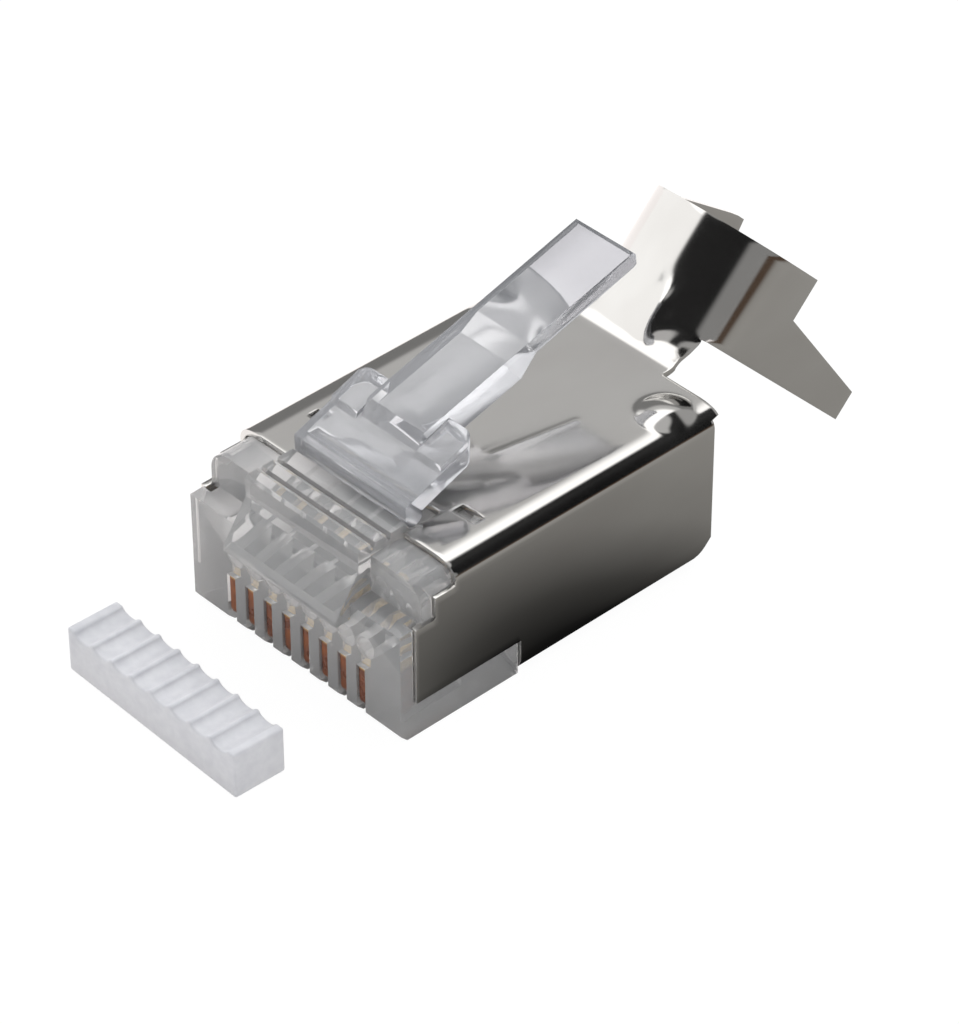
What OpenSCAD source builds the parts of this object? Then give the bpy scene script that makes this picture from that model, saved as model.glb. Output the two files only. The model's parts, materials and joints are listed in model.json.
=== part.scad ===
// Shielded eight-contact modular cable plug with a loose load bar.
// Origin: middle of the plug's width, at the front face and the contact side.
// X runs across the plug, Y from the nose towards the cable, Z from the contact side to the latch.

/* [Nose] */
// How far each side of the clear nose stands back from the shield's outside
nose_step = 0.14; // [0.05:0.01:0.3]
// How far the shoulder step lies below the shield's top
front_block_drop = 1.87; // [1.7:0.01:2.1]
// How far the shoulders stand back from the front face
shoulder_setback = 1.05; // [0.8:0.05:1.3]
// Rounding of the shoulders' upper corners
shoulder_r = 0.95; // [0.6:0.05:1.1]
// Chamfer along the lower front edge
front_chamfer = 0.3; // [0.1:0.05:0.5]

/* [Key block] */
// Width of the key block that carries the latch
key_w = 6.1; // [5.6:0.1:6.3]
// How far the key block stands above the shield's top
key_rise = 0.25; // [0.15:0.05:0.4]
// How far the lip under the key block lies below the shield's top
lip_drop = 2.6; // [2.4:0.05:2.8]
// Thickness of the lip's edge
lip_t = 0.25; // [0.15:0.05:0.4]
// How far the lip stands out in front of the front face
lip_out = 0.7; // [0.3:0.05:0.9]
// Where the key block's upright front face lies
key_front_y = 0.45; // [0.2:0.05:0.8]
// Height of the key block's upright front face
key_face_h = 0.95; // [0.7:0.05:1.2]
// Width of the two grooves across the key block's top
key_groove_w = 0.3; // [0.15:0.05:0.4]
// Depth of these grooves
key_groove_depth = 0.28; // [0.1:0.02:0.4]

/* [Contacts] */
// Distance from contact to contact
contact_pitch = 1.016; // [0.98:0.002:1.05]
// Thickness of a contact blade
blade_t = 0.36; // [0.28:0.02:0.4]
// Length of a blade along the plug
blade_len = 3.4; // [3:0.1:3.8]
// Height of the blade's lowest edge above the contact side
blade_low = 0.3; // [0.15:0.05:0.5]
// Height of the blade's body, without its teeth
blade_top = 2.25; // [2:0.05:2.4]
// Height of a tooth above the blade's body
tooth_h = 0.36; // [0.25:0.01:0.4]
// How far the blade's front edge stands back from the front face
blade_setback = 0.25; // [0.15:0.05:0.4]
// Play between a blade and its slot, on each side
blade_play = 0.05; // [0.03:0.01:0.07]

/* [Wire space] */
// Radius of a wire channel
wire_r = 0.45; // [0.38:0.01:0.46]
// Height of the wire channels' axes
wire_z = 3.1; // [3.1:0.05:3.3]
// Depth at which the wire channels open into the load bar's slot
channel_end_y = 4.6; // [4.3:0.1:5]
// Depth at which the rear hollow reaches its full height
hollow_y = 9; // [8.6:0.1:10]
// Height of the rear hollow's floor
hollow_floor = 0.95; // [0.8:0.05:1.2]
// Thickness of the roof over the rear hollow
roof_t = 0.57; // [0.45:0.01:0.8]

/* [Latch] */
// Width of the latch's wide plate
latch_w = 6; // [5.4:0.1:6]
// Width of the latch's narrow tail
tail_w = 3; // [2.6:0.1:3.3]
// Thickness of the wide plate
plate_t = 0.75; // [0.6:0.05:0.9]
// Angle at which the wide plate rises
plate_angle = 20; // [17:0.5:22]
// Angle at which the tail rises
tail_angle = 15.2; // [14:0.2:17]
// Depth of the shoulder faces behind the front face
shoulder_y = 6.25; // [6:0.05:6.5]
// Height of the raised shoulder pads above the plate
shoulder_pad = 0.22; // [0.1:0.02:0.3]
// Length of the raised shoulder pads
shoulder_pad_len = 1.75; // [1.4:0.05:2]
// Depth of the tail's tip behind the front face
tip_y = 15.7; // [15:0.1:16]
// Thickness of the tail beyond its thick root
tail_t = 0.72; // [0.6:0.02:0.9]
// Thickness of the tail's root
tail_root_t = 1.3; // [1:0.05:1.5]
// Depth at which the thick root ends
tail_root_end = 9.9; // [9.4:0.1:10.4]
// Height of the tail's top above the plate, at the shoulders
tail_rise = 0.42; // [0.3:0.02:0.5]
// Radius of the hinge knuckle at the latch's root
knuckle_r = 0.4; // [0.3:0.02:0.45]
// Depth of the hinge axis behind the front face
hinge_y = 3.2; // [3.1:0.05:3.4]
// Play round the knuckle
hinge_play = 0.04; // [0.03:0.01:0.06]

/* [Shield] */
// Width over the shield
shield_w = 11.68; // [11.6:0.02:11.9]
// Height over the shield
shield_h = 6.8; // [6.7:0.05:7]
// Thickness of the folded sheet
sheet_t = 0.25; // [0.18:0.01:0.28]
// Gap between the sheet and the housing
sheet_gap = 0.03; // [0.02:0.01:0.05]
// Outer radius of the bends along the top
top_bend_r = 0.8; // [0.6:0.05:1]
// Outer radius of the bends along the contact side
low_bend_r = 0.75; // [0.5:0.05:0.9]
// Depth of the shield's rear edge
shield_end = 16; // [15.6:0.1:16.4]
// Depth of the shield's lowest front edge on the sides
side_front = 0.65; // [0.5:0.05:0.85]
// Depth of the second step on the sides
side_step_1 = 1.6; // [1.4:0.05:1.8]
// Depth of the front edge on top
side_step_2 = 2.6; // [2.4:0.05:2.7]
// How far the first step on the sides lies below the shield's top
step_1_drop = 1.82; // [1.7:0.02:1.9]
// How far the second step on the sides lies below the shield's top
step_2_drop = 0.87; // [0.8:0.01:1.1]
// Height of the sides' lower edge at the front
side_low_z = 1.6; // [1.4:0.05:1.8]
// Depth at which the sides reach down to the contact side
side_low_end = 5.8; // [5.5:0.1:6]
// Cut-off at the rear lower corner
rear_cut = 1; // [0.7:0.1:1.4]
// How much longer this cut-off is along the plug than it is high
rear_cut_extra = 0.4; // [0:0.05:0.8]
// Width of the seam along the contact side
seam_w = 0.12; // [0.06:0.02:0.2]
// Depth of the latch notch's end
notch_end = 4.35; // [4.2:0.05:4.6]

/* [Embossing] */
// Distance of the rear bumps from the middle
bump_x = 4.5; // [4.3:0.05:4.6]
// Depth of the rear bumps
bump_y = 14.3; // [14:0.1:14.8]
// Radius of a bump's foot
bump_r = 1; // [0.8:0.05:1.1]
// Height of a bump
bump_h = 0.36; // [0.2:0.02:0.4]
// Height of the two long tapered ribs
rib_h = 0.2; // [0.1:0.02:0.24]
// Width of a rib at its front end
rib_w = 0.95; // [0.7:0.05:1.1]
// Length of a rib
rib_len = 4.3; // [3.8:0.1:4.6]
// Width of the small locking windows
window_w = 1.1; // [0.8:0.05:1.3]
// Length of the small locking windows
window_len = 0.5; // [0.4:0.05:0.7]
// Distance of the locking windows from the middle
window_x = 3.92; // [3.8:0.02:4.1]
// Depth of the locking windows
window_y = 5; // [4.9:0.05:5.4]

/* [Crimp tail] */
// Angle at which the tail stands up
clamp_angle = 45; // [42:0.5:48]
// Half of the neck's width
neck_half = 2.72; // [2.5:0.02:2.9]
// Depth at which the neck bends up
bend_y = 16.65; // [16.5:0.05:16.8]
// Length of the neck along the tail
neck_len = 1.4; // [1.3:0.05:1.6]
// How far the clamp's middle lies beside the plug's middle
clamp_x = -0.5; // [-0.6:0.05:0]
// Outer radius of the clamp's crown
clamp_r = 3.4; // [3.3:0.05:3.6]
// Length of the clamp along the cable
clamp_len = 4.2; // [4:0.1:4.6]
// Straight part of the left wing
left_wing = 5.4; // [4.5:0.1:5.6]
// How far the left wing's end reaches beyond the crown's upper edge
left_wing_rise = 0.7; // [0.2:0.05:0.8]
// Straight part of the right wing's wide end
right_wing = 1.7; // [1.2:0.1:1.8]
// Straight part of the right wing with its finger
finger_len = 7.5; // [7:0.1:7.6]
// Width of the finger at its tip
finger_tip = 1.25; // [1:0.05:1.5]
// Width of the finger where it leaves the wing
finger_root = 2.4; // [2.2:0.05:2.8]
// Angle at which the right wing spreads outwards
splay = 3; // [0:0.5:4]
// Rounding of the finger's tip
tip_r = 0.3; // [0.1:0.05:0.4]

/* [Load bar] */
// Length of the load bar, across the wires
bar_len = 9.6; // [9.2:0.1:9.7]
// Depth of the load bar, along the wires
bar_depth = 2.3; // [2:0.1:2.8]
// Height of the load bar
bar_h = 2; // [1.8:0.05:2.1]
// Distance from groove to groove
groove_pitch = 1.12; // [1.08:0.01:1.14]
// Radius of a groove
groove_r = 0.45; // [0.38:0.01:0.48]
// Where the loose load bar lies, across the plug
bar_x = -0.9; // [-2:0.1:2]
// Where the loose load bar lies, in front of the nose
bar_y = -5; // [-8:0.1:-3]
// How far the loose load bar is turned
bar_turn = -1.5; // [-10:0.5:10]

/* [Hidden] */
$fn = 48;
overcut = 1;
contact_count = 8;
tooth_count = 3;

sheet_inner_x = shield_w / 2 - sheet_t;
sheet_inner_top = shield_h - sheet_t;
core_half = sheet_inner_x - sheet_gap;
nose_w = shield_w - 2 * nose_step;
core_top = sheet_inner_top - sheet_gap;
side_step_1_z = shield_h - step_1_drop;
side_step_2_z = shield_h - step_2_drop;
front_block_h = shield_h - front_block_drop;
key_top = shield_h + key_rise;
key_slope_top = key_top - key_face_h;
lip_z = shield_h - lip_drop;
hollow_roof = core_top - roof_t;
core_low = sheet_t + sheet_gap;
core_end = shield_end - 0.12;
exposed_side_h = side_low_z - sheet_gap;
core_r = top_bend_r - sheet_t;
core_low_r = low_bend_r - sheet_t;

slot_w = blade_t + 2 * blade_play;
slot_top = blade_top + blade_play;
tooth_top = blade_top + tooth_h;
blade_end = blade_setback + blade_len;
tooth_front = blade_setback + 0.42;
slot_end = blade_end + blade_play;
blade_corner_r = 0.45;

bar_slot_half = bar_len / 2 + 0.12;
bar_slot_floor = wire_z - 1.25;
bar_slot_roof = bar_slot_floor + bar_h + 0.15;
taper_start = channel_end_y + bar_depth + 0.3;
groove_span = (contact_count - 1) * groove_pitch;
groove_z = bar_h - groove_r + 0.05;

hinge_z = key_top + 0.05;
knuckle_hole_r = knuckle_r + hinge_play;
key_end = hinge_y + knuckle_hole_r + 0.3;
plate_front = hinge_y - knuckle_r;
plate_top_front = hinge_z + 0.62;
plate_top_end = plate_top_front + (shoulder_y - plate_front) * tan(plate_angle);
tail_top_root = plate_top_end + tail_rise;
tail_start = shoulder_y - 1.15;
tip_top = tail_top_root + (tip_y - shoulder_y) * tan(tail_angle);

clamp_in_r = clamp_r - sheet_t;
clamp_start = neck_len;
clamp_end = neck_len + clamp_len;
bend_tuck = 0.2;
wing_lap = 0.03;
wing_step = 0.01;
neck_bump_x = 0.75;
bump_depths = [-0.2, -0.27, -0.32, -0.32];
bump_radii = [0.32, 0.5, 0.5, 0.32];
neck_steps = 6;
neck_slices = 12;
rib_front = [1.9, 7.6];
rib_turn = -9;

// A profile in depth and height, drawn across the plug's full width w
module across(w) {
    translate([-w / 2, 0, 0]) rotate([90, 0, 90]) linear_extrude(w) children();
}

// A cross-section in width and height, drawn from depth y1 to depth y2
module along(y1, y2) {
    translate([0, y2, 0]) rotate([90, 0, 0]) linear_extrude(y2 - y1) children();
}

// A rectangle on the contact side whose upper and lower corners are rounded apart
module rounded_section(half, low, top, r_top, r_low) {
    union() {
        translate([-half, low + r_low]) square([2 * half, top - low - r_low - r_top]);
        translate([-half + r_top, top - r_top - overcut / 10])
            square([2 * (half - r_top), r_top + overcut / 10]);
        translate([-half + r_low, low]) square([2 * (half - r_low), r_low + overcut / 10]);
        for (side = [-1, 1]) {
            translate([side * (half - r_top), top - r_top]) circle(r_top);
            translate([side * (half - r_low), low + r_low]) circle(r_low);
        }
    }
}

function contact_x(i) = (i - (contact_count + 1) / 2) * contact_pitch;

// Outline of one contact blade in depth and height, with teeth that pierce the wire
module blade_outline() {
    tooth_w = (blade_end - tooth_front) / tooth_count;
    difference() {
        union() {
            translate([blade_setback, blade_low]) square([blade_len, blade_top - blade_low]);
            for (k = [0:tooth_count - 1])
                translate([tooth_front + k * tooth_w, blade_top - overcut / 10])
                    polygon([[0, 0], [tooth_w, 0], [tooth_w * 0.72, tooth_h + overcut / 10],
                             [tooth_w * 0.28, tooth_h + overcut / 10]]);
        }
        for (end = [0, 1])
            translate([blade_setback + end * blade_len, blade_low])
                mirror([end, 0])
                    difference() {
                        square(blade_corner_r * 2, center = true);
                        translate([blade_corner_r, blade_corner_r]) circle(blade_corner_r);
                        translate([blade_corner_r, -2 * blade_corner_r]) square(4 * blade_corner_r);
                        translate([-2 * blade_corner_r, blade_corner_r]) square(4 * blade_corner_r);
                    }
    }
}

module contact(i) {
    color("goldenrod") translate([contact_x(i), 0, 0]) across(blade_t) blade_outline();
}

// Side view of everything that the shield leaves bare on the nose
module bare_side_outline() {
    polygon([[front_chamfer, 0], [side_low_end - sheet_gap, 0],
             [side_low_end - sheet_gap, exposed_side_h],
             [side_front - sheet_gap, exposed_side_h], [side_front - sheet_gap, side_step_1_z - sheet_gap],
             [0, front_block_h], [0, front_chamfer]]);
}

// Side view of the nose's shoulders, in front of the shield
module bare_shoulder_outline() {
    polygon([[shoulder_setback, front_block_h - overcut / 10],
             [side_step_1 - sheet_gap, front_block_h - overcut / 10],
             [side_step_1 - sheet_gap, side_step_2_z - sheet_gap],
             [side_step_2 - sheet_gap, side_step_2_z - sheet_gap],
             [side_step_2 - sheet_gap, shield_h], [shoulder_setback, shield_h]]);
}

// Side view of the key block: a lip, a sloped front and an upright face
module key_outline() {
    polygon([[-lip_out, lip_z], [-lip_out, lip_z + lip_t], [key_front_y, key_slope_top],
             [key_front_y, key_top - 0.12], [key_front_y + 0.12, key_top],
             [key_end, key_top], [key_end, front_block_h], [overcut, front_block_h],
             [overcut, lip_z]]);
}

// Side view of the hollow for the wires: a low slot for the load bar, then a tall rear space
module hollow_outline() {
    polygon([[channel_end_y, bar_slot_floor], [taper_start, bar_slot_floor],
             [hollow_y, hollow_floor], [core_end + overcut, hollow_floor],
             [core_end + overcut, hollow_roof], [hollow_y, hollow_roof],
             [taper_start, bar_slot_roof], [channel_end_y, bar_slot_roof]]);
}

// Slot for one contact: open in front and on the contact side, and deeper behind the front wall
module contact_slot(i) {
    translate([contact_x(i), 0, 0]) {
        across(slot_w) polygon([[-overcut, -overcut], [slot_end, -overcut], [slot_end, wire_z],
                                [tooth_front - blade_play, wire_z],
                                [tooth_front - blade_play, slot_top], [-overcut, slot_top]]);
    }
}

module wire_channel(i) {
    translate([contact_x(i), channel_end_y + overcut / 10, wire_z])
        rotate([90, 0, 0]) cylinder(r = wire_r, h = channel_end_y - tooth_front + 0.2);
}

// Barb that snaps into a locking window of the shield
module barb(side) {
    translate([side * window_x, window_y, core_top - overcut / 10])
        across(window_w - 0.2)
            polygon([[-window_len / 2 + 0.08, 0], [window_len / 2 - 0.08, 0],
                     [window_len / 2 - 0.08, overcut / 10 + sheet_gap + sheet_t * 0.8],
                     [-window_len / 2 + 0.08, overcut / 10 + 0.02]]);
}

module housing() {
    color("whitesmoke", 0.6) difference() {
        union() {
            across(nose_w) bare_side_outline();
            intersection() {
                across(nose_w) bare_shoulder_outline();
                along(0, side_step_2)
                    rounded_section(nose_w / 2, 0, core_top + 0.05, shoulder_r, core_low_r);
            }
            along(side_front - sheet_gap, side_low_end)
                rounded_section(core_half, 0, side_step_1_z - sheet_gap, core_low_r, core_low_r);
            along(side_step_1 - overcut / 10, side_low_end)
                rounded_section(core_half, 0, side_step_2_z - sheet_gap, core_low_r, core_low_r);
            along(side_step_2 - overcut / 10, side_low_end)
                rounded_section(core_half, 0, core_top, core_r, core_low_r);
            intersection() {
                along(side_low_end - overcut / 10, core_end)
                    rounded_section(core_half, core_low, core_top, core_r, core_low_r);
                across(shield_w) rear_cut_outline(sheet_gap + sheet_t);
            }
            across(key_w) key_outline();
            for (side = [-1, 1]) barb(side);
        }
        across(2 * bar_slot_half) hollow_outline();
        for (i = [1:contact_count]) {
            contact_slot(i);
            wire_channel(i);
        }
        for (k = [0:1])
            translate([0, key_front_y + 0.62 + k * 0.75, key_top - key_groove_depth])
                across(key_w + overcut)
                    polygon([[0, 0], [key_groove_w * 0.6, 0], [key_groove_w, key_groove_depth + overcut],
                             [0, key_groove_depth + overcut]]);
        translate([0, hinge_y, hinge_z]) rotate([0, 90, 0])
            cylinder(r = knuckle_hole_r, h = key_w + overcut, center = true);
        translate([-key_w / 2 - overcut, hinge_y, core_top]) cube([key_w + 2 * overcut, overcut * 2, overcut]);
    }
}

// Side view of the body with its rear lower corner cut off, drawn back by a margin
module rear_cut_outline(margin) {
    polygon([[-overcut, 0], [shield_end - rear_cut - rear_cut_extra - margin, 0],
             [shield_end - margin / 2, rear_cut - margin / 2 + margin], [shield_end + overcut, rear_cut + overcut],
             [shield_end + overcut, shield_h + overcut], [-overcut, shield_h + overcut]]);
}

// Side view of the wide plate, with its upright front edge
module plate_outline() {
    drop = plate_t / cos(plate_angle);
    polygon([[plate_front, hinge_z], [plate_front, plate_top_front],
             [shoulder_y, plate_top_end], [shoulder_y, plate_top_end - drop],
             [hinge_y + knuckle_r * 0.9, plate_top_front + (hinge_y + knuckle_r * 0.9 - plate_front)
              * tan(plate_angle) - drop],
             [hinge_y + knuckle_r * 0.6, hinge_z]]);
}

// Side view of the raised pads behind which the plug locks
module pad_outline() {
    start = shoulder_y - shoulder_pad_len;
    slope = tan(plate_angle);
    polygon([[start, plate_top_end - shoulder_pad_len * slope - 0.1],
             [start, plate_top_end - shoulder_pad_len * slope],
             [start + 0.12, plate_top_end - (shoulder_pad_len - 0.12) * slope + shoulder_pad],
             [shoulder_y, plate_top_end + shoulder_pad],
             [shoulder_y, plate_top_end - 0.1]]);
}

// Side view of the tail: a thick root that thins out, then a thin end
module tail_outline() {
    slope = tan(tail_angle);
    drop = tail_t / cos(tail_angle);
    root_drop = tail_root_t / cos(tail_angle);
    root_end_top = tail_top_root + (tail_root_end - shoulder_y) * slope;
    thin_start = tail_root_end + 0.75;
    thin_top = tail_top_root + (thin_start - shoulder_y) * slope;
    start_top = tail_top_root + (tail_start - shoulder_y) * slope;
    polygon([[tail_start - 0.5, start_top - tail_rise - 0.45], [tail_start, start_top - 0.02],
             [tip_y - 0.15, tip_top - 0.15 * slope], [tip_y, tip_top - 0.2],
             [tip_y + 0.05, tip_top - drop + 0.1], [tip_y - 0.1, tip_top - drop],
             [thin_start, thin_top - drop], [tail_root_end, root_end_top - root_drop],
             [shoulder_y, tail_top_root - root_drop], [tail_start, start_top - root_drop + 0.1]]);
}

// Outline from above: rounded shoulders on the plate and a tail with bevelled tip corners
module plate_plan() {
    r = 0.55;
    union() {
        translate([-latch_w / 2, plate_front - overcut])
            square([latch_w, shoulder_y - plate_front + overcut - r]);
        translate([-latch_w / 2 + r, plate_front])
            square([latch_w - 2 * r, shoulder_y - plate_front]);
        for (side = [-1, 1]) translate([side * (latch_w / 2 - r), shoulder_y - r]) circle(r);
    }
}

module latch() {
    color("aliceblue", 0.6) union() {
        intersection() {
            union() {
                across(latch_w) plate_outline();
                for (side = [-1, 1])
                    translate([side * (latch_w + tail_w) / 4, 0, 0])
                        across((latch_w - tail_w) / 2 - 0.1) pad_outline();
            }
            translate([0, 0, hinge_z - overcut]) linear_extrude(shield_h) plate_plan();
        }
        across(tail_w) tail_outline();
        translate([0, hinge_y, hinge_z]) rotate([0, 90, 0])
            cylinder(r = knuckle_r, h = latch_w, center = true);
    }
}

// Side view of the folded box, with its stepped front and its cut-off rear corner
module shield_side_outline() {
    difference() {
        rear_cut_outline(0);
        translate([-overcut * 2, -overcut]) square([overcut * 2 + side_front, shield_h + 3 * overcut]);
        translate([0, -overcut]) square([side_low_end, side_low_z + overcut]);
        translate([0, side_step_1_z]) square([side_step_1, shield_h]);
        translate([0, side_step_2_z]) square([side_step_2, shield_h]);
        translate([shield_end, -overcut]) square([2 * overcut, shield_h + 3 * overcut]);
    }
}

// One bump pressed up out of the sheet, hollow underneath
module bump(grow, below) {
    ball_r = (bump_r * bump_r + bump_h * bump_h) / (2 * bump_h);
    translate([0, 0, shield_h + bump_h - ball_r])
        intersection() {
            sphere(ball_r + grow);
            translate([-bump_r * 2, -bump_r * 2, ball_r - bump_h - below]) cube(bump_r * 4);
        }
}

// A long tapered rib pressed up out of the sheet
module rib(side) {
    translate([side * rib_front[0], rib_front[1], shield_h - overcut / 10]) rotate([0, 0, side * rib_turn])
        hull() {
            translate([0, rib_w / 2, 0]) cylinder(r = rib_w / 2, h = overcut / 10, $fn = 24);
            translate([0, rib_w / 2 + 0.1, 0])
                cylinder(r = rib_w / 5, h = overcut / 10 + rib_h, $fn = 24);
            translate([0, rib_len - 0.15, 0]) cylinder(r = 0.15, h = overcut / 10 + 0.02, $fn = 24);
        }
}

// Moves its children to the foot of the standing tail: X across, Y up along it, Z out of its back
module on_tail() {
    translate([0, bend_y, shield_h]) rotate([clamp_angle, 0, 0]) children();
}

// Points of a neck slice at a share of the neck's length, from flat to the clamp's curve
function neck_depth(x, share) = (clamp_r - sqrt(clamp_r * clamp_r - x * x)) * share * share * (3 - 2 * share);
function neck_y(share) = neck_len * share - (share == 0 ? bend_tuck : 0) + (share == 1 ? sheet_t / 2 : 0);
function neck_ring(share) =
    let (inset = share * sheet_t / 5)
    [for (k = [0:neck_slices]) let (x = neck_half * (2 * k / neck_slices - 1))
         [x + clamp_x * share, neck_y(share), -neck_depth(x, share) - inset],
     for (k = [neck_slices:-1:0]) let (x = neck_half * (2 * k / neck_slices - 1))
         [x + clamp_x * share, neck_y(share), -neck_depth(x, share) - sheet_t + inset]];

// The neck: a sheet that is flat at the bend and curved where it meets the clamp
module neck() {
    ring = 2 * (neck_slices + 1);
    points = [for (i = [0:neck_steps]) each neck_ring(i / neck_steps)];
    sides = [for (i = [0:neck_steps - 1]) for (k = [0:ring - 1])
                 let (a = i * ring + k, b = i * ring + (k + 1) % ring)
                 each [[a, a + ring, b], [b, a + ring, b + ring]]];
    caps = [for (i = [0, neck_steps]) for (k = [0:neck_slices - 1])
                let (a = i * ring + k, b = i * ring + ring - 1 - k)
                each (i == 0 ? [[a, a + 1, b], [a + 1, b - 1, b]] : [[a, b, a + 1], [a + 1, b, b - 1]])];
    polyhedron(points, concat(sides, caps), convexity = 4);
}

// Cross-section of the clamp's crown, up to where its wings go on straight
module crown_section() {
    reach = clamp_r + overcut;
    difference() {
        circle(clamp_r);
        circle(clamp_in_r);
        translate([-reach, -reach]) square([reach + clamp_in_r / 2, reach]);
        rotate([0, 0, splay]) translate([0, -reach]) square(reach);
    }
}

// A flat wing below the crown, drawn as distance down from it and place along the cable
module wing() {
    translate([-sheet_t, 0, 0]) rotate([0, 90, 0]) linear_extrude(sheet_t) children();
}

module clamp() {
    translate([clamp_x, clamp_start, -clamp_r]) {
        rotate([-90, 0, 0]) mirror([0, 1, 0]) linear_extrude(clamp_len) crown_section();
        translate([-clamp_in_r - wing_step, 0, 0]) wing()
            polygon([[-wing_lap, 0], [left_wing, 0], [left_wing, clamp_len / 2],
                     [left_wing - left_wing_rise, clamp_len + left_wing_rise], [-wing_lap, clamp_len]]);
        rotate([0, -splay, 0]) translate([clamp_r + wing_step, 0, 0]) wing()
            polygon([[-wing_lap, 0], [finger_len - tip_r, 0], [finger_len, tip_r],
                     [finger_len, finger_tip - tip_r], [finger_len - tip_r, finger_tip],
                     [right_wing, finger_root], [right_wing, clamp_len], [-wing_lap, clamp_len]]);
    }
}

// Long stiffening bump that runs from the neck onto the crown, and stays clear of the cable
module neck_bump() {
    difference() {
        hull() for (k = [0:3])
            translate([neck_bump_x, 0.85 + k * 0.78, bump_depths[k]]) sphere(bump_radii[k], $fn = 20);
        translate([clamp_x, -overcut, -clamp_r]) rotate([-90, 0, 0])
            cylinder(r = clamp_in_r + sheet_t / 2, h = clamp_end + 2 * overcut);
    }
}

module shield() {
    color("silver") union() {
        difference() {
            union() {
                intersection() {
                    difference() {
                        along(0, shield_end)
                            rounded_section(shield_w / 2, 0, shield_h, top_bend_r, low_bend_r);
                        along(-overcut, shield_end + overcut)
                            rounded_section(sheet_inner_x, sheet_t, sheet_inner_top, core_r, core_low_r);
                    }
                    across(shield_w + overcut) shield_side_outline();
                }
                for (side = [-1, 1]) {
                    translate([side * bump_x, bump_y, 0]) bump(0, sheet_t / 2);
                    rib(side);
                }
            }
            for (side = [-1, 1]) {
                translate([side * bump_x, bump_y, 0]) bump(-sheet_t, 2 * sheet_t);
                translate([side * window_x - window_w / 2, window_y - window_len / 2, shield_h - overcut])
                    cube([window_w, window_len, 2 * overcut]);
            }
            translate([-key_w / 2 - 0.1, 0, shield_h - overcut])
                cube([key_w + 0.2, notch_end, 2 * overcut]);
            translate([-seam_w / 2, 0, -overcut]) cube([seam_w, shield_end + overcut, overcut + 2 * sheet_t]);
        }
        translate([-neck_half, shield_end - overcut / 10, sheet_inner_top])
            cube([2 * neck_half, bend_y - shield_end + overcut / 10, sheet_t]);
        on_tail() {
            neck();
            clamp();
            neck_bump();
        }
    }
}

module load_bar() {
    color("lavender") translate([bar_x, bar_y, 0]) rotate([0, 0, bar_turn])
        difference() {
            along(-bar_depth / 2, bar_depth / 2)
                rounded_section(bar_len / 2, 0, bar_h, 0.12, 0.12);
            for (k = [0:contact_count - 1])
                translate([k * groove_pitch - groove_span / 2, 0, 0])
                    along(-bar_depth, bar_depth) {
                        translate([0, groove_z]) circle(groove_r);
                        translate([-groove_r * 0.8, groove_z]) square([groove_r * 1.6, overcut]);
                    }
        }
}

housing();
latch();
shield();
load_bar();
contact(1);  // contact_1
contact(2);  // contact_2
contact(3);  // contact_3
contact(4);  // contact_4
contact(5);  // contact_5
contact(6);  // contact_6
contact(7);  // contact_7
contact(8);  // contact_8
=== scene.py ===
import json
import math

import bpy
from mathutils import Matrix, Vector

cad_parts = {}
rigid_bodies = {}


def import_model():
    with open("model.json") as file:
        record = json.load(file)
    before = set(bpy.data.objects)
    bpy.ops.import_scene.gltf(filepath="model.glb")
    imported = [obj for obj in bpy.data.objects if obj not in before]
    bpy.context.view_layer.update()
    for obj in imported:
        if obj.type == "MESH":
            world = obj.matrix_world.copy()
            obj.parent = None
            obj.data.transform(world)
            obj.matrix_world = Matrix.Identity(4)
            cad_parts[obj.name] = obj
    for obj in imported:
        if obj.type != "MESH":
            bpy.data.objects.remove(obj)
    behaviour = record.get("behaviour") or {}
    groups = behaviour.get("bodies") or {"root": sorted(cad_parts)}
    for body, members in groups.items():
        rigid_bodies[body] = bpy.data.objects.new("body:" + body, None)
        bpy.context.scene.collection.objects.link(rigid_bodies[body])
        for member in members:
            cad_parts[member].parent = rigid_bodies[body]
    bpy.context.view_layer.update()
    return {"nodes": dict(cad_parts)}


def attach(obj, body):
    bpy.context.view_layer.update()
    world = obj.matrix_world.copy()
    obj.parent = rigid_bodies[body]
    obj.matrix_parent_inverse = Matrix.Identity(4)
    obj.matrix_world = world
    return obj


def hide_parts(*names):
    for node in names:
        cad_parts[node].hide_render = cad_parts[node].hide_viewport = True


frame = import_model()
MM = 0.001


def deselect():
    for obj in bpy.context.view_layer.objects:
        obj.select_set(False)


deselect()


# --- camera, floor and lights ---

def make_camera():
    azimuth, elevation, roll = (math.radians(v) for v in (46.95, 38.25, -0.17))
    back = Vector((math.sin(azimuth) * math.cos(elevation),
                   -math.cos(azimuth) * math.cos(elevation), math.sin(elevation)))
    across = Vector((math.cos(azimuth), math.sin(azimuth), 0))
    upward = back.cross(across)
    right = across * math.cos(roll) + upward * math.sin(roll)
    up = upward * math.cos(roll) - across * math.sin(roll)
    place = Vector((0, 11, 4)) + back * 173.3 + right * -1.31 + up * -2.04
    data = bpy.data.cameras.new("camera")
    data.sensor_width = 36
    data.lens = 36 * 4634 / 1024
    data.clip_start = 0.01
    data.clip_end = 20
    camera = bpy.data.objects.new("camera", data)
    bpy.context.scene.collection.objects.link(camera)
    turn = Matrix((right, up, back)).transposed().to_4x4()
    camera.matrix_world = Matrix.Translation(place * MM) @ turn
    bpy.context.scene.camera = camera


def soft_light(name, direction, distance, size, power):
    data = bpy.data.lights.new(name, "AREA")
    data.shape = "RECTANGLE"
    data.size, data.size_y = size
    data.energy = power
    lamp = bpy.data.objects.new(name, data)
    bpy.context.scene.collection.objects.link(lamp)
    way = Vector(direction).normalized()
    lamp.location = way * distance + Vector((0, 0.01, 0))
    lamp.rotation_mode = "QUATERNION"
    lamp.rotation_quaternion = way.to_track_quat("Z", "Y")
    lamp.visible_glossy = False
    lamp.visible_transmission = False
    return lamp


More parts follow.
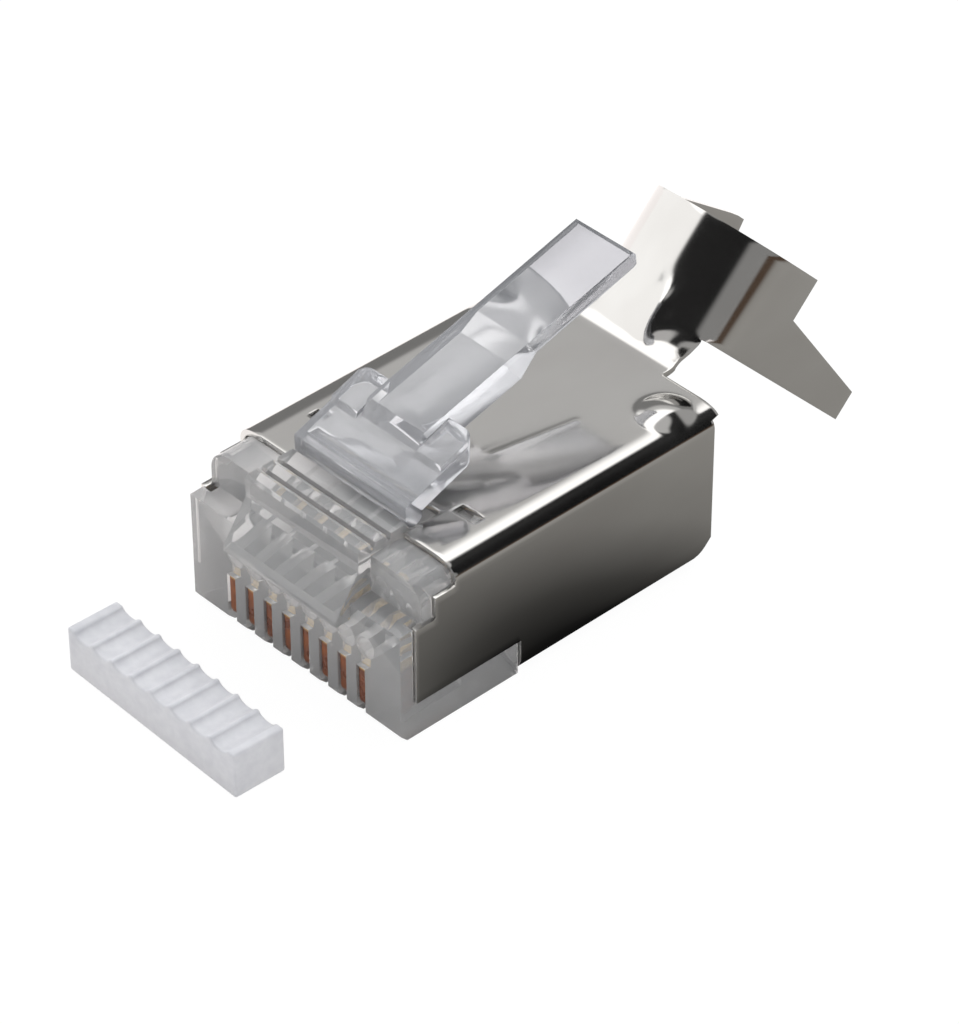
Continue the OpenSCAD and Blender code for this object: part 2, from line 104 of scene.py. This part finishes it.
def make_floor():
    bpy.ops.mesh.primitive_plane_add(size=3, location=(0, 0, -0.00002))
    floor = bpy.context.object
    floor.name = "floor"
    paint = bpy.data.materials.new("floor")
    paint.use_nodes = True
    tree = paint.node_tree
    tree.nodes.clear()
    out = tree.nodes.new("ShaderNodeOutputMaterial")
    matte = tree.nodes.new("ShaderNodeBsdfDiffuse")
    matte.inputs["Color"].default_value = (0.78, 0.77, 0.75, 1)
    glow = tree.nodes.new("ShaderNodeEmission")
    glow.inputs["Strength"].default_value = 1.04
    ray = tree.nodes.new("ShaderNodeLightPath")
    seen = tree.nodes.new("ShaderNodeMath")
    seen.operation = "MAXIMUM"
    tree.links.new(ray.outputs["Is Camera Ray"], seen.inputs[0])
    tree.links.new(ray.outputs["Is Transmission Ray"], seen.inputs[1])
    share = tree.nodes.new("ShaderNodeMath")
    share.operation = "MULTIPLY"
    share.inputs[1].default_value = 0.92
    tree.links.new(seen.outputs[0], share.inputs[0])
    pale = tree.nodes.new("ShaderNodeMixShader")
    tree.links.new(share.outputs[0], pale.inputs[0])
    tree.links.new(matte.outputs[0], pale.inputs[1])
    tree.links.new(glow.outputs[0], pale.inputs[2])
    # Painted shadow and light for reflections: glossy rays see the floor as a painted glow, not as the lit floor.
    # It is near black within a few millimetres of the plug, grey further out, and dark again far off.
    where = tree.nodes.new("ShaderNodeTexCoord")
    centred = tree.nodes.new("ShaderNodeVectorMath")
    centred.inputs[1].default_value = (0, -0.008, 0)
    away = tree.nodes.new("ShaderNodeVectorMath")
    away.operation = "LENGTH"
    tree.links.new(where.outputs["Object"], centred.inputs[0])
    tree.links.new(centred.outputs[0], away.inputs[0])
    reach = tree.nodes.new("ShaderNodeMath")
    reach.operation = "MULTIPLY"
    reach.inputs[1].default_value = 10
    tree.links.new(away.outputs["Value"], reach.inputs[0])
    fade = tree.nodes.new("ShaderNodeValToRGB")
    fade.color_ramp.elements[0].position = 0.065
    fade.color_ramp.elements[0].color = (0.006, 0.006, 0.006, 1)
    fade.color_ramp.elements[1].position = 0.7
    fade.color_ramp.elements[1].color = (0.07, 0.045, 0.03, 1)
    for position, level in ((0.085, 0.045), (0.12, 0.19), (0.18, 0.27), (0.3, 0.3), (0.45, 0.28)):
        stop = fade.color_ramp.elements.new(position)
        stop.color = (level, level * 0.97, level * 0.92, 1)
    tree.links.new(reach.outputs[0], fade.inputs["Fac"])
    split = tree.nodes.new("ShaderNodeSeparateXYZ")
    tree.links.new(where.outputs["Object"], split.inputs[0])
    left = tree.nodes.new("ShaderNodeMapRange")
    left.inputs["From Min"].default_value = -0.003
    left.inputs["From Max"].default_value = -0.009
    tree.links.new(split.outputs["X"], left.inputs["Value"])
    front = tree.nodes.new("ShaderNodeMapRange")
    front.inputs["From Min"].default_value = 0.001
    front.inputs["From Max"].default_value = -0.004
    tree.links.new(split.outputs["Y"], front.inputs["Value"])
    # Painted light: the floor turns near white towards the left of the plug and in front of it.
    painted_light_mask = tree.nodes.new("ShaderNodeMath")
    painted_light_mask.operation = "MAXIMUM"
    tree.links.new(left.outputs[0], painted_light_mask.inputs[0])
    tree.links.new(front.outputs[0], painted_light_mask.inputs[1])
    lit = tree.nodes.new("ShaderNodeMix")
    lit.data_type = "RGBA"
    lit.inputs["B"].default_value = (1, 0.96, 0.95, 1)
    tree.links.new(painted_light_mask.outputs[0], lit.inputs["Factor"])
    tree.links.new(fade.outputs["Color"], lit.inputs["A"])
    # The painted shadow and light glow at a set strength and are shown to glossy rays only.
    painted_shade_and_light_glow = tree.nodes.new("ShaderNodeEmission")
    painted_shade_and_light_glow.inputs["Strength"].default_value = 1.35
    tree.links.new(lit.outputs["Result"], painted_shade_and_light_glow.inputs["Color"])
    mix = tree.nodes.new("ShaderNodeMixShader")
    tree.links.new(ray.outputs["Is Glossy Ray"], mix.inputs[0])
    tree.links.new(pale.outputs[0], mix.inputs[1])
    tree.links.new(painted_shade_and_light_glow.outputs[0], mix.inputs[2])
    tree.links.new(mix.outputs[0], out.inputs["Surface"])
    floor.data.materials.append(paint)


def make_world():
    """White behind the object, and for polished faces a bright wall at the left and above, dark in front."""
    world = bpy.data.worlds.new("studio")
    bpy.context.scene.world = world
    world.use_nodes = True
    tree = world.node_tree
    tree.nodes.clear()
    out = tree.nodes.new("ShaderNodeOutputWorld")
    room = tree.nodes.new("ShaderNodeBackground")
    room.inputs["Color"].default_value = (0.95, 0.97, 1, 1)
    room.inputs["Strength"].default_value = 0.95
    white = tree.nodes.new("ShaderNodeBackground")
    white.inputs["Color"].default_value = (1, 1, 1, 1)
    white.inputs["Strength"].default_value = 1
    where = tree.nodes.new("ShaderNodeTexCoord")
    split = tree.nodes.new("ShaderNodeSeparateXYZ")
    tree.links.new(where.outputs["Generated"], split.inputs[0])

    def fade(axis, start, end, low, high):
        ranged = tree.nodes.new("ShaderNodeMapRange")
        ranged.interpolation_type = "SMOOTHSTEP"
        for socket, value in zip(("From Min", "From Max", "To Min", "To Max"), (start, end, low, high)):
            ranged.inputs[socket].default_value = value
        tree.links.new(split.outputs[axis], ranged.inputs["Value"])
        return ranged.outputs[0]

    def times(one, other):
        product = tree.nodes.new("ShaderNodeMath")
        product.operation = "MULTIPLY"
        tree.links.new(one, product.inputs[0])
        tree.links.new(other, product.inputs[1])
        return product.outputs[0]

    brighter = tree.nodes.new("ShaderNodeMath")
    brighter.operation = "MAXIMUM"
    high = tree.nodes.new("ShaderNodeMath")
    high.operation = "ADD"
    tree.links.new(fade("Z", 0.67, 0.78, 0, 1.14), high.inputs[0])
    tree.links.new(fade("Z", 0.5, 0.6, 0.25, 0.66), high.inputs[1])
    tree.links.new(high.outputs[0], brighter.inputs[0])
    tree.links.new(fade("Y", 0.36, 0.12, 0, 1.4), brighter.inputs[1])
    side = tree.nodes.new("ShaderNodeMath")
    side.operation = "ADD"
    tree.links.new(times(brighter.outputs[0], fade("X", -0.14, -0.22, 0.012, 1)), side.inputs[0])
    tree.links.new(fade("X", 0.84, 0.92, 0, 0.3), side.inputs[1])
    dim = times(fade("Y", -0.45, -0.6, 0, 0.45), fade("Z", 0.42, 0.27, 0, 1))
    for patch in (fade("Z", 0.88, 0.94, 0, 0.6), fade("Y", 0.6, 0.7, 0, 0.45)):
        sum_up = tree.nodes.new("ShaderNodeMath")
        sum_up.operation = "ADD"
        tree.links.new(dim, sum_up.inputs[0])
        tree.links.new(patch, sum_up.inputs[1])
        dim = sum_up.outputs[0]
    everywhere = tree.nodes.new("ShaderNodeMath")
    everywhere.operation = "ADD"
    tree.links.new(side.outputs[0], everywhere.inputs[0])
    tree.links.new(times(dim, fade("X", -0.22, -0.14, 0, 1)), everywhere.inputs[1])
    wall = everywhere.outputs[0]
    polished = tree.nodes.new("ShaderNodeBackground")
    polished.inputs["Color"].default_value = (1, 0.99, 0.98, 1)
    tree.links.new(wall, polished.inputs["Strength"])
    ray = tree.nodes.new("ShaderNodeLightPath")
    seen = tree.nodes.new("ShaderNodeMath")
    seen.operation = "MAXIMUM"
    tree.links.new(ray.outputs["Is Camera Ray"], seen.inputs[0])
    tree.links.new(ray.outputs["Is Transmission Ray"], seen.inputs[1])
    behind = tree.nodes.new("ShaderNodeMixShader")
    tree.links.new(seen.outputs[0], behind.inputs[0])
    tree.links.new(room.outputs[0], behind.inputs[1])
    tree.links.new(white.outputs[0], behind.inputs[2])
    mix = tree.nodes.new("ShaderNodeMixShader")
    tree.links.new(ray.outputs["Is Glossy Ray"], mix.inputs[0])
    tree.links.new(behind.outputs[0], mix.inputs[1])
    tree.links.new(polished.outputs[0], mix.inputs[2])
    tree.links.new(mix.outputs[0], out.inputs["Surface"])


# --- finishes ---

def new_finish(name):
    finish = bpy.data.materials.new(name)
    finish.use_nodes = True
    return finish, finish.node_tree, finish.node_tree.nodes["Principled BSDF"]


def place_noise(tree, scale, detail, stretch=(1, 1, 1)):
    where = tree.nodes.new("ShaderNodeTexCoord")
    sized = tree.nodes.new("ShaderNodeMapping")
    sized.inputs["Scale"].default_value = stretch
    noise = tree.nodes.new("ShaderNodeTexNoise")
    noise.inputs["Scale"].default_value = scale
    noise.inputs["Detail"].default_value = detail
    tree.links.new(where.outputs["Object"], sized.inputs["Vector"])
    tree.links.new(sized.outputs[0], noise.inputs["Vector"])
    return noise


def spread(tree, source, low, high):
    ranged = tree.nodes.new("ShaderNodeMapRange")
    ranged.inputs["From Min"].default_value = 0.3
    ranged.inputs["From Max"].default_value = 0.7
    ranged.inputs["To Min"].default_value = low
    ranged.inputs["To Max"].default_value = high
    tree.links.new(source, ranged.inputs["Value"])
    return ranged.outputs[0]


def add_bump(tree, shader, source, distance, strength):
    bump = tree.nodes.new("ShaderNodeBump")
    bump.inputs["Distance"].default_value = distance
    bump.inputs["Strength"].default_value = strength
    tree.links.new(source, bump.inputs["Height"])
    tree.links.new(bump.outputs["Normal"], shader.inputs["Normal"])


def two_tone(tree, shader, source, one, other):
    mix = tree.nodes.new("ShaderNodeMix")
    mix.data_type = "RGBA"
    mix.inputs["A"].default_value = (*one, 1)
    mix.inputs["B"].default_value = (*other, 1)
    tree.links.new(source, mix.inputs["Factor"])
    tree.links.new(mix.outputs["Result"], shader.inputs["Base Color"])


def moulded_finish(name, clearness, one, other):
    finish, tree, shader = new_finish(name)
    shader.inputs["Transmission Weight"].default_value = clearness
    shader.inputs["IOR"].default_value = 1.45
    flow = place_noise(tree, 700, 2, (1, 0.4, 1))
    two_tone(tree, shader, spread(tree, flow.outputs["Fac"], 0, 1), one, other)
    tree.links.new(spread(tree, flow.outputs["Fac"], 0.02, 0.06), shader.inputs["Roughness"])
    add_bump(tree, shader, flow.outputs["Fac"], 0.00004, 0.12)
    return finish


def latch_finish():
    """The latch's plastic, greyer along its thin tail."""
    finish = moulded_finish("clear_latch", 0.8, (0.8, 0.81, 0.84), (0.87, 0.88, 0.91))
    tree = finish.node_tree
    shader = tree.nodes["Principled BSDF"]
    cloud = shader.inputs["Base Color"].links[0].from_socket
    where = tree.nodes.new("ShaderNodeTexCoord")
    split = tree.nodes.new("ShaderNodeSeparateXYZ")
    tree.links.new(where.outputs["Object"], split.inputs[0])
    along = tree.nodes.new("ShaderNodeMapRange")
    along.inputs["From Min"].default_value = 0.009
    along.inputs["From Max"].default_value = 0.0135
    tree.links.new(split.outputs["Y"], along.inputs["Value"])
    grey = tree.nodes.new("ShaderNodeMix")
    grey.data_type = "RGBA"
    grey.inputs["B"].default_value = (0.56, 0.57, 0.6, 1)
    tree.links.new(along.outputs[0], grey.inputs["Factor"])
    tree.links.new(cloud, grey.inputs["A"])
    tree.links.new(grey.outputs["Result"], shader.inputs["Base Color"])
    return finish


def frosted_plastic_finish():
    finish, tree, shader = new_finish("frosted_plastic")
    shader.inputs["Transmission Weight"].default_value = 0.3
    shader.inputs["IOR"].default_value = 1.58
    grain = place_noise(tree, 2200, 3)
    two_tone(tree, shader, spread(tree, grain.outputs["Fac"], 0, 1), (0.7, 0.7, 0.73), (0.8, 0.8, 0.82))
    tree.links.new(spread(tree, grain.outputs["Fac"], 0.35, 0.5), shader.inputs["Roughness"])
    add_bump(tree, shader, grain.outputs["Fac"], 0.00003, 0.15)
    return finish


def plated_sheet_finish():
    finish, tree, shader = new_finish("plated_sheet")
    shader.inputs["Metallic"].default_value = 1
    cloud = place_noise(tree, 350, 3, (1, 0.5, 1))
    two_tone(tree, shader, spread(tree, cloud.outputs["Fac"], 0, 1), (0.6, 0.59, 0.575), (0.65, 0.645, 0.63))
    tree.links.new(spread(tree, cloud.outputs["Fac"], 0.1, 0.14), shader.inputs["Roughness"])
    wave = place_noise(tree, 160, 1, (1, 0.6, 1))
    add_bump(tree, shader, wave.outputs["Fac"], 0.0001, 0.12)
    return finish


def contact_finish():
    finish, tree, shader = new_finish("contact_gold")
    shader.inputs["Metallic"].default_value = 0.25
    stain = place_noise(tree, 1500, 3)
    two_tone(tree, shader, spread(tree, stain.outputs["Fac"], 0, 1), (0.09, 0.016, 0.005), (0.27, 0.075, 0.014))
    body = shader.inputs["Base Color"].links[0].from_socket
    where = tree.nodes.new("ShaderNodeTexCoord")
    split = tree.nodes.new("ShaderNodeSeparateXYZ")
    tree.links.new(where.outputs["Object"], split.inputs[0])
    high = tree.nodes.new("ShaderNodeMapRange")
    high.inputs["From Min"].default_value = 0.0021
    high.inputs["From Max"].default_value = 0.0023
    tree.links.new(split.outputs["Z"], high.inputs["Value"])
    gold = tree.nodes.new("ShaderNodeMix")
    gold.data_type = "RGBA"
    gold.inputs["B"].default_value = (0.9, 0.66, 0.28, 1)
    tree.links.new(high.outputs[0], gold.inputs["Factor"])
    tree.links.new(body, gold.inputs["A"])
    tree.links.new(gold.outputs["Result"], shader.inputs["Base Color"])
    tree.links.new(spread(tree, stain.outputs["Fac"], 0.22, 0.38), shader.inputs["Roughness"])
    return finish


finishes = {
    "clear_body": moulded_finish("clear_body", 0.77, (0.97, 0.96, 0.95), (1, 1, 1)),
    "clear_latch": latch_finish(),
    "frosted_plastic": frosted_plastic_finish(),
    "plated_sheet": plated_sheet_finish(),
    "contact_gold": contact_finish(),
}


# --- working tools ---

def only(obj):
    deselect()
    obj.select_set(True)
    bpy.context.view_layer.objects.active = obj


def clear_picks(obj):
    for part in (obj.data.vertices, obj.data.edges, obj.data.polygons):
        part.foreach_set("select", [False] * len(part))


def edit(obj, mode="FACE"):
    only(obj)
    bpy.ops.object.mode_set(mode="EDIT")
    bpy.ops.mesh.select_mode(type=mode)


def leave():
    bpy.ops.object.mode_set(mode="OBJECT")


def remove_faces(obj, unwanted):
    clear_picks(obj)
    for face in obj.data.polygons:
        face.select = unwanted(face.center / MM)
    edit(obj)
    bpy.ops.mesh.delete(type="FACE")
    leave()


def apply_modifier(obj, kind, **settings):
    only(obj)
    modifier = obj.modifiers.new(kind.title(), kind)
    for setting, value in settings.items():
        setattr(modifier, setting, value)
    bpy.ops.object.modifier_apply(modifier=modifier.name)


def smooth(obj, degrees):
    only(obj)
    bpy.ops.object.shade_smooth_by_angle(angle=math.radians(degrees))


def steps(start, end, count):
    return [start + (end - start) * k / count for k in range(1, count + 1)]


def sheet_grid(name, columns, rows, place):
    bpy.ops.mesh.primitive_grid_add(x_subdivisions=columns, y_subdivisions=rows, size=1)
    obj = bpy.context.object
    obj.name = name
    spots = []
    for vertex in obj.data.vertices:
        column = round((vertex.co.x + 0.5) * columns)
        row = round((vertex.co.y + 0.5) * rows)
        spots.extend(v * MM for v in place(column, row))
    obj.data.vertices.foreach_set("co", spots)
    obj.data.update()
    return obj


def give(obj, body, slot, *nodes):
    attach(obj, body)
    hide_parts(*nodes)


# --- shield ---

CROWN = 3.4
NECK_HALF = 2.72
NECK_TURN = math.asin(NECK_HALF / CROWN)
NECK_LEN = 1.4
CLAMP_LEN = 4.2
CLAMP_X = -0.5
SPLAY = math.radians(3)


def half_outline():
    neck = [(CROWN * math.sin(a), 6.8) for a in steps(0, NECK_TURN, 20)]
    top = [(x, 6.8) for x in steps(NECK_HALF, 3.15, 3) + steps(3.15, 3.37, 2) + steps(3.37, 4.47, 9)
           + steps(4.47, 4.674, 2)]
    soft, turn = 2.6, math.radians(16)
    upper = [(4.674 + soft * math.sin(a), 6.8 - soft * (1 - math.cos(a))) for a in steps(0, turn, 8)]
    x, z = upper[-1]
    upper += [(x + 0.62 * (math.sin(a) - math.sin(turn)), z - 0.62 * (math.cos(turn) - math.cos(a)))
              for a in steps(turn, math.pi / 2, 12)]
    side = [(5.84, z) for z in [5.93] + steps(5.93, 4.98, 3) + steps(4.98, 1.6, 10) + steps(1.6, 0.75, 3)]
    lower = [(5.09 + 0.75 * math.cos(a), 0.75 - 0.75 * math.sin(a)) for a in steps(0, math.pi / 2, 8)]
    return neck + top + upper + side + lower + [(x, 0) for x in steps(5.09, 0.06, 10)]


def dome(distance, radius, height):
    ball = (radius ** 2 + height ** 2) / (2 * height)
    rise = math.sqrt(max(ball ** 2 - distance ** 2, 0)) - ball + height
    return (rise + math.sqrt(rise * rise + 0.0016)) / 2


def rib_rise(x, y):
    along = (abs(x) - 1.9) * 0.156 + (y - 7.6) * 0.988
    beside = (abs(x) - 1.9) * 0.988 - (y - 7.6) * 0.156
    if not 0 < along < 4.3:
        return 0
    narrow = 1 - along / 4.3
    reach = (beside / (0.2 + 0.14 * narrow)) ** 2
    if along < 0.5:
        reach += ((along - 0.5) / 0.5) ** 2
    return 0.024 * (0.5 + 0.5 * narrow) * max(0, 1 - reach) ** 2


def box_sheet():
    half = half_outline()
    outline = [(-x, z) for x, z in reversed(half)] + [(0, 6.8)] + half
    depths = [0.65] + steps(0.65, 1.6, 6) + steps(1.6, 2.6, 6) + steps(2.6, 4.35, 10) + steps(4.35, 4.75, 3) \
        + steps(4.75, 5.25, 4) + steps(5.25, 5.8, 4) + steps(5.8, 16, 84)

    def place(column, row):
        x, z = outline[column]
        y = depths[row]
        if z < 6.5 and y > 6:
            y = 6 + (y - 6) * 0.965
        if z > 6.11:
            z += dome(math.hypot(abs(x) - 4.45, y - 14.35), 1.1, 0.3) + rib_rise(x, y)
        return x, y, z

    box = sheet_grid("shield_skin", len(outline) - 1, len(depths) - 1, place)

    def unwanted(spot):
        x, y, z = abs(spot.x), spot.y, spot.z
        low = z < 1.6 and y < 5.8
        first = z > 4.98 and y < 1.6
        second = z > 5.93 and y < 2.6
        notch = z > 6.7 and x < 3.15 and y < 4.35
        window = z > 6.7 and 3.37 < x < 4.47 and 4.75 < y < 5.25
        return low or first or second or notch or window

    remove_faces(box, unwanted)
    edit(box)
    bpy.ops.mesh.select_all(action="SELECT")
    bpy.ops.mesh.bisect(plane_co=(0, 14.6 * MM, 0), plane_no=(0, 1, -1.4), clear_outer=True, threshold=0.0000001)
    bpy.ops.mesh.select_all(action="SELECT")
    bpy.ops.mesh.remove_doubles(threshold=0.00002)
    leave()
    return box


def tail_path(run):
    """Place and lean of the tail's middle line, a run of it behind the box."""
    radius, flat = 0.9, 0.277
    if run < flat:
        return 16 + run, 6.8, 0
    turned = min((run - flat) / radius, math.pi / 4)
    straight = max(run - flat - radius * math.pi / 4, 0)
    y = 16 + flat + radius * math.sin(turned) + straight * math.cos(turned)
    z = 6.8 + radius * (1 - math.cos(turned)) + straight * math.sin(turned)
    return y, z, turned


def clamp_sheet():
    turns = [-NECK_TURN] + steps(-NECK_TURN, 0, 20) + steps(0, NECK_TURN, 20)
    left_turns = list(reversed(steps(-NECK_TURN, -math.pi / 2, 8)))
    right_turns = steps(NECK_TURN, math.pi / 2 - SPLAY, 8)
    left_wing = list(reversed(steps(0, 5.4, 10)))
    right_wing = steps(0, 1.7, 4) + steps(1.7, 7.5, 10)
    columns = [("left", d) for d in left_wing] + [("crown", a) for a in left_turns + turns + right_turns] \
        + [("right", d) for d in right_wing]
    start = 0.277 + 0.9 * math.pi / 4 + NECK_LEN - 0.373
    runs = [0] + steps(0, 0.277, 2) + steps(0.277, 0.277 + 0.9 * math.pi / 4, 8) \
        + steps(0.277 + 0.9 * math.pi / 4, start, 8) + steps(start, start + 2.4, 10) + steps(start + 2.4, start + CLAMP_LEN, 8)

    def place(column, row):
        kind, value = columns[column]
        run = runs[row]
        up = run - start
        if kind == "crown":
            share = min(max(1 + up / NECK_LEN, 0), 1)
            x = CROWN * math.sin(value) + CLAMP_X * share
            depth = CROWN * (1 - math.cos(value)) * share * share * (3 - 2 * share)
            bead = math.exp(-((x - 0.75) / 0.42) ** 2 - ((up - 0.1) / 0.95) ** 2)
            depth -= 0.28 * bead * min(max((up + 1.4) / 0.4, 0), 1)
        elif kind == "left":
            x = CLAMP_X - CROWN
            rise = min(value / 4.7, 1) * 0.7
            drawn_in = 0.7 * min(max((up - 2.1) / 2.8, 0), 1) * value / 5.4
            depth = CROWN + value - drawn_in
            run = start + up * (CLAMP_LEN + rise) / CLAMP_LEN if up > 0 else run
        else:
            x = CLAMP_X + CROWN * math.cos(SPLAY) + value * math.sin(SPLAY)
            depth = CROWN * (1 - math.sin(SPLAY)) + value * math.cos(SPLAY)
            if value > 1.71 and up > 0:
                run = start + up * (1 - 0.48 * (value - 1.7) / 5.8)
        y, z, lean = tail_path(run)
        return x, y + depth * math.sin(lean), z - depth * math.cos(lean)

    clamp = sheet_grid("clamp_sheet", len(columns) - 1, len(runs) - 1, place)
    beside = [column for column, (kind, value) in enumerate(columns)
              if kind != "crown" or abs(value) > NECK_TURN + 0.001]
    count = len(columns)
    clear_picks(clamp)
    for face in clamp.data.polygons:
        corners = [clamp.data.vertices[k].index for k in face.vertices]
        places = [(corner % count, corner // count) for corner in corners]
        outside = any(column in beside for column, row in places)
        below = max(runs[row] for column, row in places) <= start + 0.001
        finger = min(columns[column][1] if columns[column][0] == "right" else 0 for column, row in places) > 1.69
        beyond = min(runs[row] for column, row in places) > start + 2.39
        face.select = (outside and below) or (finger and beyond)
    edit(clamp)
    bpy.ops.mesh.delete(type="FACE")
    leave()
    return clamp


def make_shield():
    skin, clamp = box_sheet(), clamp_sheet()
    only(skin)
    clamp.select_set(True)
    bpy.ops.object.join()
    edit(skin, "VERT")
    bpy.ops.mesh.select_all(action="SELECT")
    bpy.ops.mesh.remove_doubles(threshold=0.000002)
    bpy.ops.mesh.normals_make_consistent(inside=False)
    leave()
    if not any(face.normal.z > 0.9 and face.center.z > 0.0067 for face in skin.data.polygons):
        edit(skin)
        bpy.ops.mesh.select_all(action="SELECT")
        bpy.ops.mesh.flip_normals()
        leave()
    apply_modifier(skin, "SOLIDIFY", thickness=0.25 * MM, offset=-1, use_even_offset=True)
    apply_modifier(skin, "BEVEL", width=0.04 * MM, segments=2, limit_method="ANGLE", angle_limit=math.radians(50))
    smooth(skin, 40)
    give(skin, "plug", "plated_sheet", "shield")
    return skin


# --- moulded pieces and contacts ---

def eased_copy(node, name, width):
    """A copy of a node's solid with its edges eased, as a mould leaves them."""
    piece = bpy.data.objects.new(name, frame["nodes"][node].data.copy())
    bpy.context.scene.collection.objects.link(piece)
    edit(piece, "VERT")
    bpy.ops.mesh.select_all(action="SELECT")
    bpy.ops.mesh.remove_doubles(threshold=0.000001)
    leave()
    if node == "housing":
        fill_box(piece, (-4.4, 0.62, 2.66), (4.4, 4.55, 3.7))
        for vertex in piece.data.vertices:
            if vertex.co.y > 15 * MM:
                vertex.co.y = 15 * MM + (vertex.co.y - 15 * MM) * 0.7
    elif node.startswith("contact"):
        edit(piece, "VERT")
        bpy.ops.mesh.select_all(action="SELECT")
        bpy.ops.transform.translate(value=(0, -0.17 * MM, 0))
        leave()
    edit(piece, "VERT")
    bpy.ops.mesh.select_all(action="SELECT")
    bpy.ops.mesh.dissolve_limited(angle_limit=math.radians(0.5))
    leave()
    apply_modifier(piece, "BEVEL", width=width * MM, segments=3, limit_method="ANGLE",
                   angle_limit=math.radians(28), use_clamp_overlap=True)
    smooth(piece, 35)
    return piece


def dress(obj, finish):
    obj.data.materials.clear()
    obj.data.materials.append(finishes[finish])


def drawn_bar(name, outline, low, high):
    """A front outline in width and height, drawn out along the depth."""
    bpy.ops.mesh.primitive_circle_add(vertices=len(outline), fill_type="NGON")
    bar = bpy.context.object
    bar.name = name
    for vertex, (x, z) in zip(bar.data.vertices, outline):
        vertex.co = (x * MM, low * MM, z * MM)
    edit(bar)
    bpy.ops.mesh.select_all(action="SELECT")
    bpy.ops.mesh.extrude_region_move(TRANSFORM_OT_translate={"value": (0, (high - low) * MM, 0)})
    bpy.ops.mesh.select_all(action="SELECT")
    bpy.ops.mesh.normals_make_consistent(inside=False)
    leave()
    return bar


def make_wire_comb():
    pitch, half, height, depth = 1.12, 4.8, 2, 0.22
    top = [(-half, height)]
    for groove in range(8):
        middle = (groove - 3.5) * pitch
        for k in range(9):
            turn = math.pi * k / 8
            top.append((middle - 0.46 * math.cos(turn), height - depth * math.sin(turn) ** 0.9))
    top.append((half, height))
    bar = drawn_bar("wire_comb", [(-half, 0)] + top + [(half, 0)], -1.15, 1.15)
    apply_modifier(bar, "BEVEL", width=0.1 * MM, segments=3, limit_method="ANGLE", angle_limit=math.radians(40),
                   use_clamp_overlap=True)
    smooth(bar, 40)
    only(bar)
    bar.rotation_euler.z = math.radians(-1.5)
    bar.location = (-0.9 * MM, -5 * MM, 0)
    bpy.ops.object.transform_apply(location=True, rotation=True, scale=True)
    give(bar, "plug", "frosted_plastic", "load_bar")
    dress(bar, "frosted_plastic")


def fill_box(piece, low, high):
    """Fills a hollow of a moulded piece with its own plastic."""
    middle = [(a + b) / 2 * MM for a, b in zip(low, high)]
    bpy.ops.mesh.primitive_cube_add(size=1, location=middle)
    block = bpy.context.object
    block.scale = [(b - a) * MM for a, b in zip(low, high)]
    bpy.ops.object.transform_apply(location=True, rotation=True, scale=True)
    apply_modifier(piece, "BOOLEAN", operation="UNION", object=block, solver="EXACT")
    bpy.data.objects.remove(block)


dress(make_shield(), "plated_sheet")
make_wire_comb()
for node, name, body, slot, width in (("housing", "clear_body", "plug", "clear_plastic", 0.07),
                                      ("latch", "clear_latch", "latch", "clear_plastic", 0.06)):
    piece = eased_copy(node, name, width)
    give(piece, body, slot, node)
    dress(piece, name)
for number in range(1, 9):
    blade = eased_copy("contact_%d" % number, "blade_%d" % number, 0.03)
    give(blade, "plug", "contact_gold", "contact_%d" % number)
    dress(blade, "contact_gold")


make_camera()
make_floor()
make_world()
soft_light("window", (-1, 0.05, 0.02), 0.6, (0.3, 0.3), 2.2)
soft_light("ceiling", (-0.1, 0.5, 0.85), 0.7, (0.5, 0.3), 2)
bpy.context.scene.view_settings.view_transform = "Standard"
